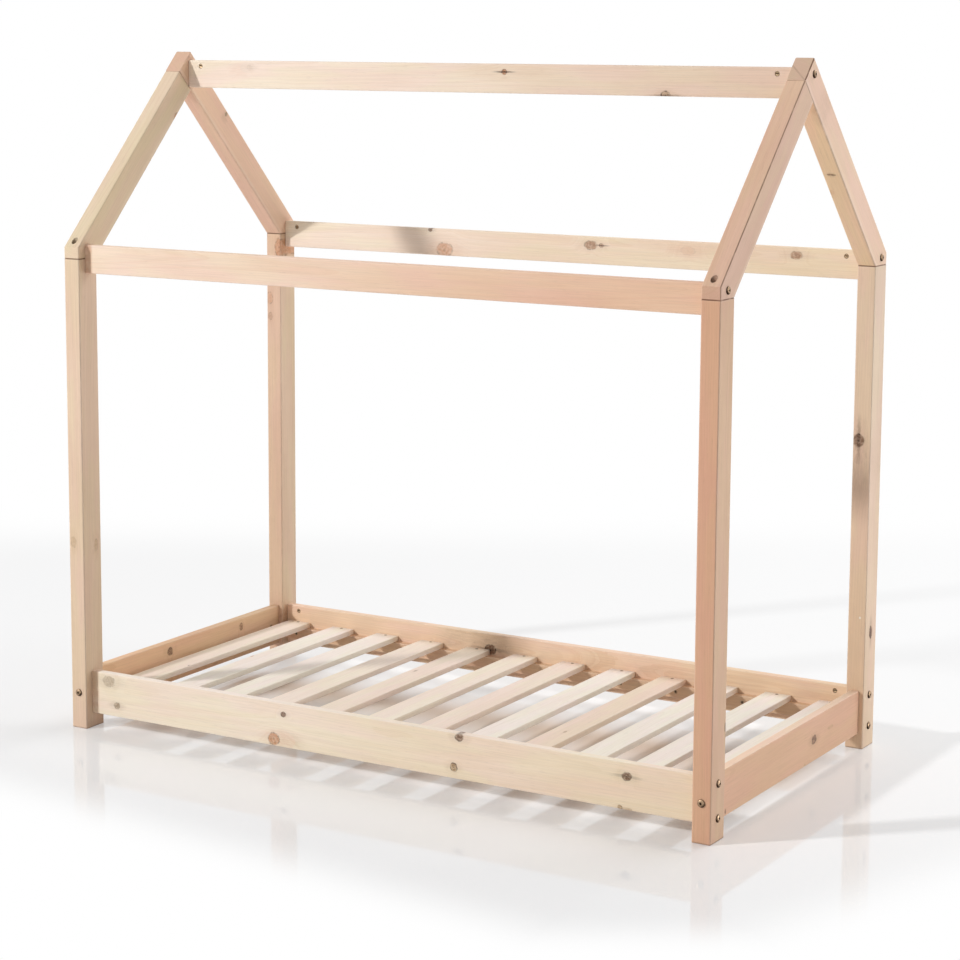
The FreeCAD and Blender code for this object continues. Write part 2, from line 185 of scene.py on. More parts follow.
    def principled(self, colour: Socket, rough: Socket, normal: Optional[Socket] = None,
                   **more: float) -> Socket:
        """Principled shader; more of its inputs are named with underscores for spaces."""
        given = {"Base Color": colour, "Roughness": rough, "Normal": normal}
        return self.wire("ShaderNodeBsdfPrincipled",
                         {**given, **{name.replace("_", " "): more[name] for name in more}})

    def show(self, shader: Socket, kind: str = "ShaderNodeOutputMaterial") -> None:
        """Send a shader to the material's or the world's surface."""
        self.feed(self.node(kind).inputs["Surface"], shader)


def new_material(name: str) -> Tuple[bpy.types.Material, NodeSheet]:
    """Empty material of the given name, and the sheet of its nodes."""
    material = bpy.data.materials.new(name)
    material.use_nodes = True
    material.node_tree.nodes.clear()
    return material, NodeSheet(material.node_tree)


def dress_node(node: str, material: bpy.types.Material) -> None:
    """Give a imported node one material."""
    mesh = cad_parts[node].data
    mesh.materials.clear()
    mesh.materials.append(material)


def add_object(name: str, data: bpy.types.ID) -> bpy.types.Object:
    """New object in the scene, at the origin."""
    made = bpy.data.objects.new(name, data)
    bpy.context.scene.collection.objects.link(made)
    return made


# ---- shared effects

NUMBERS, VECTORS, COLOURS = "NodeSocketFloat", "NodeSocketVector", "NodeSocketColor"


class Effect:
    """Shader node group that several materials share."""

    def __init__(self, name: str, takes: Dict[str, str], gives: Dict[str, str]) -> None:
        """Make the group with its named inputs and outputs.

        Args:
            name: the group's name.
            takes, gives: the names of its inputs and outputs, by their kind.
        """
        self.tree = bpy.data.node_groups.new(name, "ShaderNodeTree")
        for way, sockets in (("INPUT", takes), ("OUTPUT", gives)):
            for kind, labels in sockets.items():
                for label in labels.split(", "):
                    self.tree.interface.new_socket(label, in_out=way, socket_type=kind)
        self.sheet = NodeSheet(self.tree)
        self.taken = self.tree.nodes.new("NodeGroupInput").outputs
        self.given = self.tree.nodes.new("NodeGroupOutput").inputs

    def give(self, **values: object) -> None:
        """Feed the group's outputs, named as its sockets."""
        for label, value in values.items():
            self.sheet.feed(self.given[label], value)

    def place(self, sheet: NodeSheet, **values: object) -> bpy.types.NodeOutputs:
        """Put the group into a material.

        Args:
            sheet: the material's node sheet.
            values: what goes into the group's inputs, spaces written as underscores.
        Returns:
            The outputs of the placed group.
        """
        made = sheet.node("ShaderNodeGroup", node_tree=self.tree)
        for label, value in values.items():
            sheet.feed(made.inputs[label.replace("_", " ")], value)
        return made.outputs


def growth_rings() -> Effect:
    """Growth rings of a trunk whose pith runs along X.

    The radius is the distance to the pith line, which wanders with slow noise, plus the trunk's
    taper times X, plus the swell that knots push outwards. One ring is the radius over the ring
    width; its latewood share rises slowly and falls sharply at the ring's end.
    """
    made = Effect("growth_rings",
                  {VECTORS: "Point, Pith", NUMBERS: "Ring Width, Wander, Taper, Swell, Seed"},
                  {NUMBERS: "Late, Tone"})
    s, t = made.sheet, made.taken
    shifted = s.plus(t["Point"], s.join(t["Seed"], s.mul(t["Seed"], 1.7), 0.0))
    lean = s.shake(s.scaled(shifted, (1.3, 2.2, 2.2)), 1.0, t["Wander"], 1.0)
    jitter = s.shake(s.scaled(shifted, (7.0, 34.0, 34.0)), 1.0, s.mul(t["Wander"], 0.1))
    away = s.less(s.plus(s.plus(t["Point"], lean), jitter), t["Pith"])
    radius = s.length(s.scaled(away, (0.0, 1.0, 1.0)))
    radius = s.add(s.fma(s.split(t["Point"])[0], t["Taper"], radius), t["Swell"])
    uneven = s.wire("ShaderNodeTexNoise", {"W": s.mul(s.add(radius, t["Seed"]), 90.0)}, "Fac",
                    noise_dimensions="1D")
    count = s.fma(uneven, 1.6, s.div(radius, t["Ring Width"]))
    part = s.math("FRACT", count)
    year = s.wire("ShaderNodeTexWhiteNoise", {"W": s.math("FLOOR", count)}, "Value",
                  noise_dimensions="1D")
    made.give(Late=s.mul(s.ramp(part, 0.30, 0.93), s.fall(part, 0.94, 1.0)), Tone=year)
    return made


def branch_knot() -> Effect:
    """One knot: a branch that crosses the board along its own axis.

    The distance to the branch's axis, squeezed along the grain by the stretch, is divided by the
    knot's radius. Below 1 lies the knot with its specks and fine rings, at 1 its dark bark, beyond
    it a stained halo, and thin rays along the grain. The grain swells out around it. Knots chain:
    each adds to the masks of the one before.
    """
    made = Effect("branch_knot",
                  {VECTORS: "Point, Centre, Axis", COLOURS: "Wood, Tint In",
                   NUMBERS: "Radius, Stretch, Share, Dark, Stain, Rays, Ragged, Push, Core In, "
                            "Bark In, Halo In, Swell In"},
                  {NUMBERS: "Core, Bark, Halo, Swell", COLOURS: "Tint"})
    s, t = made.sheet, made.taken
    point, radius = t["Point"], t["Radius"]
    loose = s.shake(point, 120.0, s.mul(radius, t["Ragged"]), 3.0)
    away = s.less(s.plus(point, loose), t["Centre"])
    along = s.dot(away, t["Axis"])
    side = s.less(away, s.vector("SCALE", t["Axis"], scale=along))
    squeeze = s.join(s.div(1.0, t["Stretch"]), 1.0, 1.0)
    gap = s.div(s.length(s.scaled(side, squeeze)), radius)

    cloudy = s.ramp(s.noise(point, 190.0, 3.0, 0.6), 0.30, 0.66, 0.55, 1.12)
    core = s.mul(s.mul(s.fall(gap, 0.72, 1.08), cloudy), t["Share"], clamp=True)
    rim = s.ramp(s.size(s.sub(gap, 0.93)), 0.0, 0.22, 0.85, 0.0)
    patchy = s.ramp(s.noise(point, 105.0), 0.42, 0.60, 0.10)
    specks = s.mul(s.ramp(s.noise(point, 620.0, 2.0, 0.6), 0.50, 0.64), core)
    rings = s.fma(s.math("SINE", s.mul(gap, 15.0)), 0.15, 0.15)
    heart = s.ramp(gap, 0.0, 0.26, 0.45, 0.0)
    bark = s.fma(rim, patchy, s.mul(specks, 0.7))
    bark = s.mul(s.add(bark, s.fma(core, rings, heart)), t["Dark"])

    grain, across, deep = s.split(side)
    thin = s.length(s.join(0.0, across, deep))
    reach = s.div(s.size(grain), s.mul(radius, 5.5))
    ray = s.mul(s.fall(s.div(thin, radius), 0.10, 0.42), s.fall(reach, 0.1, 1.0))
    ray = s.mul(ray, s.mul(t["Rays"], 0.8))

    drawn_out = s.length(s.scaled(side, s.scaled(squeeze, (0.55, 1.0, 1.0))))
    spread = s.div(drawn_out, radius)
    veined = s.ramp(s.streaks(side, (40.0, 420.0, 420.0), 2.0), 0.3, 0.7, 0.45)
    halo = s.mul(s.mul(s.fall(spread, 0.6, 1.9), veined), t["Stain"])
    swell = s.mul(s.ramp(gap, 0.3, 3.4, 0.8, 0.0), radius)
    near = s.math("LESS_THAN", spread, 1.9)
    made.give(Core=s.most(core, t["Core In"]),
              Bark=s.most(s.add(bark, ray, clamp=True), t["Bark In"]),
              Halo=s.most(halo, t["Halo In"]),
              Swell=s.fma(swell, t["Push"], t["Swell In"]),
              Tint=s.blend(near, t["Tint In"], t["Wood"]))
    return made


def fine_fibre() -> Effect:
    """Long thin streaks along the grain, short dark resin ducts, and two soft drifts of tone."""
    made = Effect("fine_fibre", {VECTORS: "Point", NUMBERS: "Seed"},
                  {NUMBERS: "Streak, Duct, Cloud, Blush"})
    s, t = made.sheet, made.taken
    shifted = s.plus(t["Point"], s.join(s.mul(t["Seed"], 3.1), t["Seed"], 0.0))
    made.give(Streak=s.streaks(shifted, (9.0, 520.0, 520.0), 3.0, 0.6),
              Duct=s.ramp(s.streaks(shifted, (42.0, 900.0, 900.0), 1.0), 0.66, 0.74),
              Cloud=s.streaks(shifted, (3.0, 14.0, 14.0), 3.0),
              Blush=s.streaks(shifted, (5.0, 26.0, 26.0), 2.0))
    return made


def edge_wear() -> Effect:
    """Mask of a board's long edges and corners.

    Of the three distances to the board's faces the middle one is small only near an edge. The
    mask falls from 1 on the edge to 0 at the given reach, broken up by noise.
    """
    made = Effect("edge_wear", {VECTORS: "Point, Half Size", NUMBERS: "Reach"},
                  {NUMBERS: "Wear"})
    s, t = made.sheet, made.taken
    x, y, z = s.split(s.less(t["Half Size"], s.vector("ABSOLUTE", t["Point"])))
    middle = s.most(s.least(y, z), s.least(s.most(y, z), x))
    patch = s.ramp(s.noise(t["Point"], 26.0, 3.0), 0.25, 0.6, 0.35)
    made.give(Wear=s.mul(s.fall(middle, 0.0, t["Reach"]), patch))
    return made


def dark_line() -> Effect:
    """Thin dark line where a board meets a plane: a joint's seam, a dark long edge, or painted
    shade at a post's foot, on a post's rear edge and, as a wider strip, in a corner beside a post.

    The mask falls with the distance to the plane, and fine noise breaks it up. Lines chain.
    """
    made = Effect("dark_line", {VECTORS: "Point, On, Normal", NUMBERS: "Reach, Dark, Line In"},
                  {NUMBERS: "Line"})
    s, t = made.sheet, made.taken
    off = s.dot(s.less(t["Point"], t["On"]), t["Normal"])
    mask = s.fall(s.div(s.size(off), t["Reach"]), 0.62, 1.0)
    worn = s.ramp(s.noise(t["Point"], 45.0, 3.0), 0.30, 0.52, 0.55)
    made.give(Line=s.most(s.mul(s.mul(mask, worn), t["Dark"]), t["Line In"]))
    return made


# ---- pine

class Run(Enum):
    """How a board lies: the directions of its length, its width and its thickness."""

    ALONG = ((1, 0, 0), (0, 0, 1), (0, -1, 0))
    ACROSS_ON_EDGE = ((0, 1, 0), (0, 0, 1), (1, 0, 0))
    ACROSS_FLAT = ((0, 1, 0), (-1, 0, 0), (0, 0, 1))
    UPRIGHT = ((0, 0, 1), (0, 1, 0), (-1, 0, 0))
    FRONT_SLOPE = ((0, HALF_ROOT, HALF_ROOT), (0, -HALF_ROOT, HALF_ROOT), (1, 0, 0))
    BACK_SLOPE = ((0, -HALF_ROOT, HALF_ROOT), (0, HALF_ROOT, HALF_ROOT), (-1, 0, 0))

    def turn(self) -> Matrix:
        """Rotation from the board's own directions to the frame's."""
        return Matrix(self.value).transposed()


class KnotWood(Enum):
    """Colours of a knot's wood, linear; BORE_SHADE is painted shade on the walls of a counterbore.
    """

    RED = (0.60, 0.27, 0.13)
    RUSSET = (0.40, 0.21, 0.12)
    BROWN = (0.19, 0.090, 0.045)
    TAN = (0.48, 0.30, 0.15)
    GREY = (0.38, 0.27, 0.165)
    PALE = (0.90, 0.84, 0.76)
    BORE_SHADE = (0.050, 0.026, 0.014)


RED, RUSSET, BROWN, TAN, GREY, PALE, BORE_SHADE = KnotWood
PINE_BARK = (0.055, 0.026, 0.013)
# Colour of the dark lines: joints, edges and a crack, and painted shade at the posts' feet and on
# the front right post's rear edge.
SEAM_AND_SHADE_BROWN = (0.16, 0.068, 0.030)
EDGE_PALE = (0.93, 0.83, 0.72)
# Painted shade: the browner colour of a strip in a corner beside a post.
NOOK_SHADE_BROWN = (0.72, 0.57, 0.48)


@dataclass(frozen=True)
class Knot:
    """A knot, placed in the frame. The axis is the branch's direction, the stretch follows the
    grain, the share is how much of the core is knot wood, and the push bends the grain."""

    at: Triple
    radius: float
    wood: KnotWood
    axis: Triple
    stretch: float
    share: float
    dark: float
    stain: float = 0.25
    rays: float = 0.0
    ragged: float = 0.6
    push: float = 1.0


Row = Tuple[Union[float, KnotWood], ...]
Knots = Tuple[Knot, ...]


def knots_on(way: Triple, level: float, *rows: Row) -> Knots:
    """Knots whose branches come straight out of a face.

    Args:
        way: the axis that the face is square to.
        level: the face's place along that axis.
        rows: the knot's place along the two other axes, its radius and its wood, then its
            fields from the stretch on.
    Returns:
        The knots.
    """
    before = way.index(1.0)
    return tuple(Knot((*row[:before], level, *row[before:2]), row[2], row[3], way, *row[4:])
                 for row in rows)


@dataclass(frozen=True)
class Seam:
    """A plane that leaves a dark line on a board: a joint, an edge, or painted shade at a post's
    foot; as a wide strip, painted shade in a corner.
    """

    at: Triple
    normal: Triple
    dark: float = 0.75
    reach: float = 0.0017


@dataclass(frozen=True)
class Board:
    """One timber piece and the log that it was sawn from.

    Early and late are the colours between the growth rings and in them. The drift_and_falloff
    multiplies the colour at the far end of the board's length: partly a drift of tone, partly a
    painted falloff of the light along the board. The end multiplies the colour of the faces across
    its length, the sawn end grain's tone. The cheek_light and brow_light multiply that of the faces
    across its thickness and its width: painted light and shade, as those faces lie to the lamps.
    The nook_shades are strips of painted shade, browner, in a corner beside a post.
    """

    node: str
    run: Run
    early: Triple
    late: Triple
    pith: Tuple[float, float]
    seed: float
    knots: Knots = ()
    ring: float = 0.0045
    wander: float = 0.02
    taper: float = 0.012
    contrast: float = 0.42
    drift_and_falloff: Triple = PLAIN
    cheek_light: Triple = PLAIN
    brow_light: Triple = PLAIN
    end: Triple = PLAIN
    seams: Tuple[Seam, ...] = ()
    nook_shades: Tuple[Seam, ...] = ()


class PineBench:
    """Cuts the pine material of every board out of the shared effects."""

    slope_half: float = 0.29
    wear_reach: float = 0.004
    blushes: Tuple[Triple, Triple] = ((1.0, 1.0, 0.955), (1.01, 0.965, 0.975))
    knot_fields = ("stretch", "share", "dark", "stain", "rays", "ragged", "push")

    def __init__(self) -> None:
        """Build the shared effects once."""
        self.rings, self.knot, self.fibre = growth_rings(), branch_knot(), fine_fibre()
        self.wear, self.line = edge_wear(), dark_line()

    def dress(self, board: Board) -> None:
        """Give a board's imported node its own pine."""
        low, high = (Vector(corner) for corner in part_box(board.node))
        centre, turn = (low + high) / 2, board.run.turn()
        half = self.half_size(board, high - low)
        material, s = new_material("pine_" + board.node)
        coordinates = s.node("ShaderNodeTexCoord").outputs
        where, normal = coordinates["Object"], coordinates["Normal"]
        point = s.wire("ShaderNodeMapping", {"Vector": where, "Location": centre,
                                             "Rotation": turn.to_euler()}, vector_type="TEXTURE")
        knots = self.knots(s, board, point, centre, turn)
        rings = self.rings.place(s, Point=point, Pith=(0.0, *board.pith), Ring_Width=board.ring,
                                 Wander=board.wander, Taper=board.taper, Swell=knots["Swell"],
                                 Seed=board.seed)
        fibre = self.fibre.place(s, Point=point, Seed=board.seed)
        wear = self.wear.place(s, Point=point, Half_Size=half, Reach=self.wear_reach)["Wear"]
        # Masks of the faces across the board's length, its width and its thickness; the last two
        # carry painted light and shade.
        end, brow_light, cheek_light = (s.ramp(s.size(s.dot(normal, tuple(turn @ Vector(way)))), 0.55, 0.8)
                            for way in (X_WAY, Y_WAY, Z_WAY))

        # Clear wood: latewood, drifts of tone, streaks, ducts and darker sawn ends.
        share = s.mul(rings["Late"], s.fma(rings["Tone"], 0.6, 0.4))
        share = s.mul(share, s.fma(end, 0.35, board.contrast))
        colour = s.blend(share, board.early, board.late)
        colour = s.blend(s.ramp(fibre["Cloud"], 0.3, 0.7, 0.0, 0.40), colour, board.late)
        blush = s.blend(s.ramp(fibre["Blush"], 0.38, 0.62), *self.blushes)
        streak = s.ramp(fibre["Streak"], 0.3, 0.75, 1.03, 0.95)
        colour = s.tint(s.tint(colour, blush), s.join(streak, streak, streak))
        colour = s.blend(s.mul(fibre["Duct"], 0.12), colour, PINE_BARK)
        colour = s.blend(s.mul(end, 0.35), colour, board.late)

        # The board's own factors over the wood: the drift along it, partly a painted falloff of the
        # light; painted light and shade on the faces across its thickness and width; the end
        # grain's tone; painted shade in corners beside a post. Then pale edges, knots and dark
        # lines, some of these lines painted shade.
        # Mask along the board's length for its drift, which is partly a painted falloff of the
        # light.
        far = s.ramp(s.split(point)[0], -half[0], half[0])
        nook_shade = self.seams(s, board.nook_shades, where)
        for mask, factor in ((far, board.drift_and_falloff), (cheek_light, board.cheek_light), (brow_light, board.brow_light),
                             (end, board.end), (nook_shade, NOOK_SHADE_BROWN)):
            colour = s.blend(mask, colour, s.tint(colour, factor))
        late, core, tint = rings["Late"], knots["Core"], knots["Tint"]
        for mask, over in ((s.mul(wear, 0.14), EDGE_PALE), (s.mul(knots["Halo"], 0.6), tint),
                           (core, tint), (knots["Bark"], PINE_BARK),
                           (self.seams(s, board.seams, where), SEAM_AND_SHADE_BROWN)):
            colour = s.blend(mask, colour, over)

        # Bare planed wood: late rings, worn edges and knots are a little smoother.
        gloss = s.fma(core, -0.12, s.fma(wear, -0.08, s.fma(late, -0.05, 0.58)))
        relief = s.fma(core, 0.25, s.fma(late, 0.3, s.mul(fibre["Streak"], 0.6)))
        s.show(s.principled(colour, gloss, s.bump(relief, 0.22, 0.0004), Specular_IOR_Level=0.35))
        dress_node(board.node, material)

    def half_size(self, board: Board, size: Vector) -> Triple:
        """Half the board's length, width and thickness, from its box in the frame."""
        if board.run in (Run.FRONT_SLOPE, Run.BACK_SLOPE):
            return (self.slope_half, GableFrames.stock_deep / 2, GableFrames.stock_wide / 2)
        return tuple(abs(Vector(way).dot(size)) / 2 for way in board.run.value)

    def knots(self, s: NodeSheet, board: Board, point: Socket, centre: Vector,
              turn: Matrix) -> Dict[str, object]:
        """Chain the board's knots.

        Args:
            s, board: the material's sheet and the board.
            point: the board's own coordinates.
            centre, turn: where the board lies in the frame.
        Returns:
            The knots' core, bark, halo, swell and tint.
        """
        chain: Dict[str, object] = {"Core": 0.0, "Bark": 0.0, "Halo": 0.0, "Swell": 0.0,
                                    "Tint": (*TAN.value, 1)}
        back = turn.transposed()
        for knot in board.knots:
            out = self.knot.place(
                s, Point=point, Centre=back @ (Vector(knot.at) - centre), Radius=knot.radius,
                Axis=(back @ Vector(knot.axis)).normalized(), Wood=(*knot.wood.value, 1),
                **{name.title(): getattr(knot, name) for name in self.knot_fields},
                **{name + "_In": value for name, value in chain.items()})
            chain = {name: out[name] for name in chain}
        return chain

    def seams(self, s: NodeSheet, seams: Tuple[Seam, ...], where: Socket) -> Value:
        """Chain lines or strips.

        Args:
            s, seams: the material's sheet, and the planes.
            where: the point in the frame.
        Returns:
            Their mask.
        """
        line: Value = 0.0
        for seam in seams:
            line = self.line.place(s, Point=where, On=seam.at, Reach=seam.reach, Dark=seam.dark,
                                   Normal=Vector(seam.normal).normalized(), Line_In=line)["Line"]
        return line


# ---- the bed's timber

POST_JOINT = Seam((0.0, 0.0, 0.984), Z_WAY)
BUTT_JOINT = Seam((0.0, 0.0, 1.316), ROOF_WAY)
APEX_CRACK = Seam((0.731, -0.041, 1.357), (0.717, 0.493, 0.493), 0.25, 0.002)
# Painted shade where the posts stand on the floor.
POST_FOOT_SHADE = Seam((0.0, 0.0, 0.0), Z_WAY, 0.5, 0.003)
# Painted shade on the front rail and the front board where they butt on the front left post.
LEFT_NOOK_SHADE = Seam((-0.694, 0.0, 0.0), X_WAY, 0.9, 0.021)


def edge(x: float, y: float, dark: float, z: float = 0.5, out: Triple = (1.0, -1.0, 0.0)) -> Seam:
    """Dark line on a long edge, between a face that looks along +X and its neighbour."""
    return Seam((x, y, z), out, dark)


@dataclass
class GableFrames:
    """Four posts and four rafters, of 38 x 58 mm stock."""

    stock_wide: float = 0.038
    stock_deep: float = 0.058
    outer_x: float = 0.732
    inner_x: float = 0.694
    mid_x: float = 0.713
    outer_y: float = 0.390
    inner_y: float = 0.332
    apex_z: float = 1.39802
    crotch_z: float = 1.316

    def boards(self) -> List[Board]:
        """The posts and rafters with their logs."""
        return self.posts() + self.rafters()

    def posts(self) -> List[Board]:
        """The four posts."""
        x, left, front, back = self.outer_x, -self.inner_x, -self.outer_y, self.inner_y
        joint_and_foot_shade = (POST_JOINT, POST_FOOT_SHADE)
        return [
            Board("post_front_left", Run.UPRIGHT, (0.80, 0.61, 0.455), (0.68, 0.49, 0.335),
                  (0.05, 0.10), 1.3, drift_and_falloff=(1.04, 1.06, 1.06), cheek_light=(0.895, 0.89, 0.88),
                  seams=(*joint_and_foot_shade, edge(left, front, 0.12)), knots=(
                *knots_on(Y_WAY, front, (-0.7201, 0.3955, 0.007, TAN, 1.8, 0.35, 0.25, 0.3)),
                *knots_on(X_WAY, left, (-0.349, 0.385, 0.006, TAN, 2.2, 0.35, 0.3, 0.3)))),
            Board("post_front_right", Run.UPRIGHT, (0.72, 0.43, 0.283), (0.615, 0.336, 0.214),
                  (0.02, 0.09), 2.1, drift_and_falloff=(1.0, 0.98, 0.97), cheek_light=(0.925, 1.077, 1.136),
                  # The line on the rear edge of the post's outer face is painted shade.
                  seams=(*joint_and_foot_shade, edge(x, front, 0.14), edge(x, -back, 0.3, 0.5, (1.0, 1.0, 0.0))),
                  knots=knots_on(X_WAY, x, (-0.3345, 0.2064, 0.004, BROWN, 2.5, 0.8, 0.6, 0.3))),
            Board("post_back_left", Run.UPRIGHT, (0.76, 0.545, 0.40), (0.64, 0.435, 0.295),
                  (-0.06, 0.06), 3.7, cheek_light=(0.94, 1.01, 1.0),
                  seams=(*joint_and_foot_shade, edge(left, back, 0.1)), knots=(
                *knots_on(Y_WAY, back, (-0.6985, 0.953, 0.0105, RED, 2.1, 0.75, 0.45),
                          (-0.724, 0.836, 0.009, RED, 1.6, 0.35, 0.35),
                          (-0.722, 0.795, 0.006, RUSSET, 1.5, 0.4, 0.4)),
                *knots_on(X_WAY, left,
                          (0.344, 0.095, 0.012, RUSSET, 2.6, 0.6, 0.0, 0.4, 0.0, 0.6, 0.0)))),
            Board("post_back_right", Run.UPRIGHT, (0.80, 0.585, 0.42), (0.68, 0.465, 0.313),
                  (0.04, -0.09), 4.2, drift_and_falloff=(0.96, 1.0, 1.04), cheek_light=(0.89, 0.93, 0.975),
                  seams=(*joint_and_foot_shade, edge(x, back, 0.14)), knots=(
                *knots_on(Y_WAY, back, (0.711, 0.59, 0.016, GREY, 2.2, 0.0, 0.0, 0.5),
                          (0.7066, 0.6332, 0.0118, BROWN, 1.15, 0.85, 0.7, 0.4, 0.5)),
                *knots_on(X_WAY, x, (0.3601, 0.2382, 0.0075, BROWN, 1.8, 1.1, 0.9, 0.5, 0.4)),
                *knots_on(Y_WAY, back, (0.7196, 0.2723, 0.0022, PALE, 1.3, 0.8, 0.0, 0.0)))),
        ]

    def rafters(self) -> List[Board]:
        """The four rafters."""
        x, left, slope = self.outer_x, -self.inner_x, (1.0, -HALF_ROOT, HALF_ROOT)
        # Painted shade in the counterbores at the rafters' feet.
        bore_shades = [Knot((side * self.mid_x, -0.378, 1.02), 0.0064, BORE_SHADE, Z_WAY, 1.0, 0.9, 0.2, 0.1,
                      ragged=0.15, push=0.0) for side in (-1, 1)]
        return [
            Board("rafter_front_left", Run.FRONT_SLOPE, (0.86, 0.715, 0.53), (0.75, 0.575, 0.385),
                  (0.09, 0.02), 5.9, cheek_light=(0.885, 0.865, 0.84), seams=(POST_JOINT, BUTT_JOINT),
                  knots=(bore_shades[0], *knots_on(
                      X_WAY, left, (-0.0522, 1.259, 0.010, RED, 1.2, 0.7, 0.45),
                      (-0.078, 1.229, 0.006, RED, 2.4, 0.2, 0.0)))),
            Board("rafter_front_right", Run.FRONT_SLOPE, (0.825, 0.57, 0.42), (0.70, 0.44, 0.295),
                  (0.10, -0.03), 6.4, cheek_light=(0.83, 0.857, 0.885), end=(0.78, 0.70, 0.68),
                  seams=(POST_JOINT, BUTT_JOINT, edge(x, 0.0, 0.8, self.apex_z, slope),
                         edge(x, -self.outer_y, 0.7, 1.0)), knots=(bore_shades[1],)),
            Board("rafter_back_left", Run.BACK_SLOPE, (0.825, 0.56, 0.415), (0.70, 0.46, 0.32),
                  (-0.08, 0.05), 7.6, cheek_light=(0.955, 0.97, 0.955), seams=(POST_JOINT,),
                  knots=knots_on(X_WAY, left, (0.1262, 1.2601, 0.0055, GREY, 0.8, 0.8, 0.6, 0.5),
                                 (0.119, 1.252, 0.007, GREY, 0.7, 0.0, 0.0, 0.5))),
            Board("rafter_back_right", Run.BACK_SLOPE, (0.825, 0.605, 0.405), (0.715, 0.504, 0.31),
                  (-0.09, 0.03), 8.8, drift_and_falloff=(1.06, 1.04, 1.05), cheek_light=(0.92, 0.935, 1.08),
                  end=(0.86, 0.86, 0.97), seams=(
                      POST_JOINT, edge(x, 0.0, 0.55, self.crotch_z, (1.0, -HALF_ROOT, -HALF_ROOT)),
                      edge(x, 0.0, 0.9, self.apex_z, slope), APEX_CRACK), knots=(
                Knot((0.7115, 0.1419, 1.1741), 0.0088, BROWN, ROOF_WAY, 0.3, 0.75, 0.6, 0.3,
                     push=0.3),
                Knot((0.698, 0.1777, 1.1383), 0.006, RED, ROOF_WAY, 1.0, 0.2, 0.1),
                Knot((0.727, 0.03, 1.286), 0.008, GREY, ROOF_WAY, 1.6, 0.0, 0.0, 0.3))),
        ]


